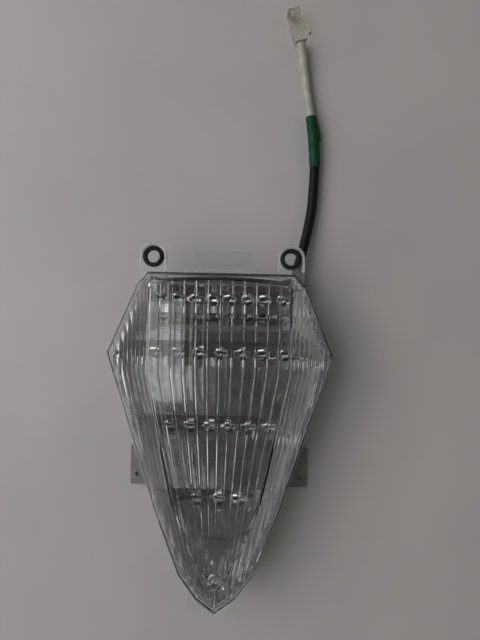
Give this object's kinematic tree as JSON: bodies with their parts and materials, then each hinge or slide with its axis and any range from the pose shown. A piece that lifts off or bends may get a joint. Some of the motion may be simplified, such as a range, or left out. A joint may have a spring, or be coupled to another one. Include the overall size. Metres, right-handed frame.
{
  "type": "motorcycle tail light",
  "caption": "Shield-shaped clear LED tail light with fluted lens, stepped mirror, two grommeted ears and a short lead ending in a latched modular plug.",
  "frame": {"origin": "on the resting face under the lamp, midway along its length and width, the lead left out", "axes": "+Z points out through the lens, +Y towards the two mounting ears, X across the lamp"},
  "size_m": [0.15, 0.4271, 0.066],
  "materials": {
    "clear_shell": "clear moulded polycarbonate, lightly scuffed",
    "clear_lens": "clear polycarbonate, fluted, polished",
    "clear_strap": "clear flat strip with polished edges",
    "bright_mirror": "vacuum-metallised moulded plastic, bright",
    "clear_seal": "clear silicone bead between lens and housing",
    "black_rubber": "matte black rubber",
    "grey_plastic": "grey moulded plastic, satin",
    "steel": "zinc-plated steel",
    "circuit_board": "green board with solder mask",
    "black_component": "moulded black epoxy",
    "wire_cover": "red and black wire insulation",
    "flat_lead": "white flexible flat lead",
    "led_epoxy": "water-clear epoxy lamps",
    "black_cable": "black round cable jacket, satin",
    "green_tape": "green vinyl tape, satin",
    "white_cable": "white round cable jacket, satin",
    "clear_plug": "clear moulded polycarbonate",
    "gold": "gold-plated contacts"
  },
  "bodies": {
    "lamp": {"housing": "clear_shell", "lens": "clear_lens", "lens_seal": "clear_seal", "reflector": "bright_mirror", "rear_strap": "clear_strap", "side_tab_left": "grey_plastic", "side_tab_right": "grey_plastic", "tab_screws": "steel", "strap_screws": "steel", "board_screws": "steel", "driver_board": "circuit_board", "resistors": "black_component", "diodes": "black_component", "driver_chip": "black_component", "supply_wires": "wire_cover", "board_leads": "flat_lead", "cable_gland": "black_rubber", "breather_cap": "black_rubber", "ear_grommet_left": "black_rubber", "ear_grommet_right": "black_rubber", "lead_black": "black_cable", "splice_tape": "green_tape", "lead_white": "white_cable", "plug_body": "clear_plug", "plug_contacts": "gold", "led_board_1": "circuit_board", "led_row_1": "led_epoxy", "led_board_2": "circuit_board", "led_row_2": "led_epoxy", "led_board_3": "circuit_board", "led_row_3": "led_epoxy", "led_board_4": "circuit_board", "led_row_4": "led_epoxy", "led_board_5": "circuit_board", "led_row_5": "led_epoxy"},
    "latch": {"plug_latch": "clear_plug"}
  },
  "joints": [
    {"name": "latch_press", "type": "hinge", "parent": "lamp", "child": "latch", "pos_m": [0.04985, 0.29714, 0.00585], "axis": [0, 0, -1], "range_deg": [0, 9], "stiffness_Nm_per_rad": 0.05}
  ]
}
